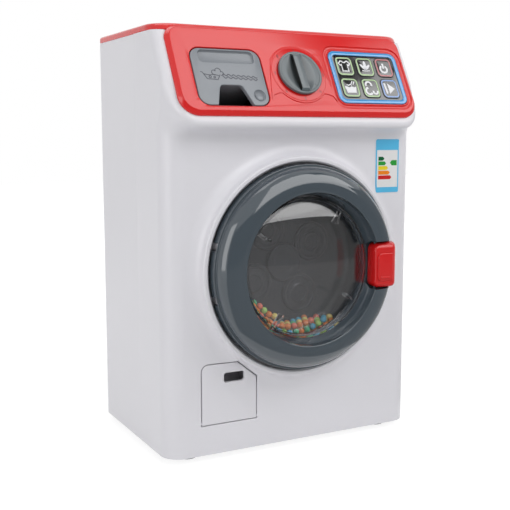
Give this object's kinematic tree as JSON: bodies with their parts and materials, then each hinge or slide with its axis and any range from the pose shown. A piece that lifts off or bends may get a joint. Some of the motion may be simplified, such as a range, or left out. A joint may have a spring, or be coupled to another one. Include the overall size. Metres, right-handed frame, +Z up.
{
  "type": "toy washing machine",
  "caption": "Toy front-loading washing machine with a hinged round door, turning bead drum, slanted red control fascia, knob, keypad and pull-out detergent drawer",
  "frame": {"origin": "under the middle of the toy's overall box, on the surface it stands on", "axes": "+Z up, the door faces -Y, +X is to the right of someone facing the door"},
  "size_m": [0.176, 0.1391, 0.26],
  "materials": {
    "white_shell": "satin",
    "white_inner": "matte",
    "rubber_foot": "matte",
    "red_console": "gloss",
    "red_latch": "gloss",
    "grey_drawer": "satin",
    "black_inner": "matte",
    "grey_knob": "gloss",
    "steel": "satin",
    "motor_can": "satin",
    "blue_film": "gloss",
    "black_film": "gloss",
    "key_face": "gloss",
    "circuit_board": "satin",
    "speaker_black": "matte",
    "drum_grey": "satin",
    "clear_plastic": "gloss",
    "gear_plastic": "satin",
    "brass_pinion": "satin",
    "bead_coral": "satin",
    "bead_lime": "satin",
    "bead_blue": "satin",
    "bead_yellow": "satin",
    "bead_orange": "satin",
    "bead_green": "satin",
    "ring_grey": "gloss",
    "label_paper": "satin",
    "cell_jacket": "gloss"
  },
  "bodies": {
    "cabinet": {"front_shell": "white_shell", "rear_shell": "white_shell", "base_plate": "white_inner", "foot_front_left": "rubber_foot", "foot_front_right": "rubber_foot", "foot_rear_left": "rubber_foot", "foot_rear_right": "rubber_foot", "top_console": "red_console", "drawer_sleeve": "black_inner", "dial_switch": "black_inner", "keypad_frame": "blue_film", "keypad_panel": "black_film", "key_board": "circuit_board", "key_domes": "steel", "speaker": "speaker_black", "tub_back": "drum_grey", "idler_pin": "steel", "motor": "motor_can", "gear_plate": "white_inner", "keeper": "white_inner", "hatch_pocket": "white_inner", "sticker": "label_paper", "battery_bay": "white_inner", "cell_top": "cell_jacket", "cell_middle": "cell_jacket", "cell_bottom": "cell_jacket", "battery_contacts": "steel", "battery_cover": "white_shell", "case_screws": "steel"},
    "drawer": {"drawer_front": "grey_drawer", "drawer_tray": "grey_drawer"},
    "knob": {"knob": "grey_knob", "knob_shaft": "steel"},
    "drum": {"drum_cup": "drum_grey", "drum_cover": "clear_plastic", "drum_shaft": "steel", "drum_gear": "gear_plastic"},
    "idler": {"idler_gear": "gear_plastic"},
    "pinion": {"motor_pinion": "brass_pinion"},
    "beads": {"beads_coral": "bead_coral", "beads_lime": "bead_lime", "beads_blue": "bead_blue", "beads_yellow": "bead_yellow", "beads_orange": "bead_orange", "beads_green": "bead_green"},
    "door": {"door_ring": "ring_grey", "door_window": "clear_plastic", "door_back": "ring_grey", "hinge_pin": "steel", "latch_pin": "steel", "latch_spring": "steel"},
    "latch": {"latch_handle": "red_latch"},
    "hatch": {"hatch_door": "white_shell"},
    "key_shirt": {"key_shirt": "key_face"},
    "key_leaf": {"key_leaf": "key_face"},
    "key_power": {"key_power": "key_face"},
    "key_basin": {"key_basin": "key_face"},
    "key_swirl": {"key_swirl": "key_face"},
    "key_play": {"key_play": "key_face"}
  },
  "joints": [
    {"name": "door_hinge", "type": "hinge", "parent": "cabinet", "child": "door", "pos_m": [-0.0575, -0.055, 0.1157], "axis": [0, 0, -1], "range_deg": [0, 80]},
    {"name": "latch_turn", "type": "hinge", "parent": "door", "child": "latch", "pos_m": [0.047, -0.0615, 0.1157], "axis": [0, 0, -1], "range_deg": [0, 8], "stiffness_Nm_per_rad": 0.05},
    {"name": "drawer_slide", "type": "slide", "parent": "cabinet", "child": "drawer", "axis": [0, -0.8805, 0.4741], "range_m": [0, 0.018]},
    {"name": "knob_turn", "type": "hinge", "parent": "cabinet", "child": "knob", "pos_m": [-0.001, -0.04683, 0.23193], "axis": [0, -0.8805, 0.4741], "range_deg": [-135, 135]},
    {"name": "drum_spin", "type": "hinge", "parent": "cabinet", "child": "drum", "pos_m": [0, 0, 0.1157], "axis": [0, -1, 0], "continuous": true},
    {"name": "idler_spin", "type": "hinge", "parent": "cabinet", "child": "idler", "pos_m": [0.01851, 0, 0.09364], "axis": [0, -1, 0], "continuous": true},
    {"name": "pinion_spin", "type": "hinge", "parent": "cabinet", "child": "pinion", "pos_m": [0.03731, 0, 0.10048], "axis": [0, -1, 0], "continuous": true},
    {"name": "beads_swing", "type": "hinge", "parent": "cabinet", "child": "beads", "pos_m": [0, 0, 0.1157], "axis": [0, -1, 0], "range_deg": [-35, 35]},
    {"name": "hatch_hinge", "type": "hinge", "parent": "cabinet", "child": "hatch", "pos_m": [0, -0.04435, 0.0238], "axis": [1, 0, 0], "range_deg": [0, 85]},
    {"name": "key_shirt_press", "type": "slide", "parent": "cabinet", "child": "key_shirt", "axis": [0, 0.8805, -0.4741], "range_m": [0, 0.0009], "stiffness_N_per_m": 400},
    {"name": "key_leaf_press", "type": "slide", "parent": "cabinet", "child": "key_leaf", "axis": [0, 0.8805, -0.4741], "range_m": [0, 0.0009], "stiffness_N_per_m": 400},
    {"name": "key_power_press", "type": "slide", "parent": "cabinet", "child": "key_power", "axis": [0, 0.8805, -0.4741], "range_m": [0, 0.0009], "stiffness_N_per_m": 400},
    {"name": "key_basin_press", "type": "slide", "parent": "cabinet", "child": "key_basin", "axis": [0, 0.8805, -0.4741], "range_m": [0, 0.0009], "stiffness_N_per_m": 400},
    {"name": "key_swirl_press", "type": "slide", "parent": "cabinet", "child": "key_swirl", "axis": [0, 0.8805, -0.4741], "range_m": [0, 0.0009], "stiffness_N_per_m": 400},
    {"name": "key_play_press", "type": "slide", "parent": "cabinet", "child": "key_play", "axis": [0, 0.8805, -0.4741], "range_m": [0, 0.0009], "stiffness_N_per_m": 400}
  ],
  "couplings": [
    {"joint": "idler_spin", "follows": "drum_spin", "ratio": -5},
    {"joint": "pinion_spin", "follows": "drum_spin", "ratio": 20}
  ]
}
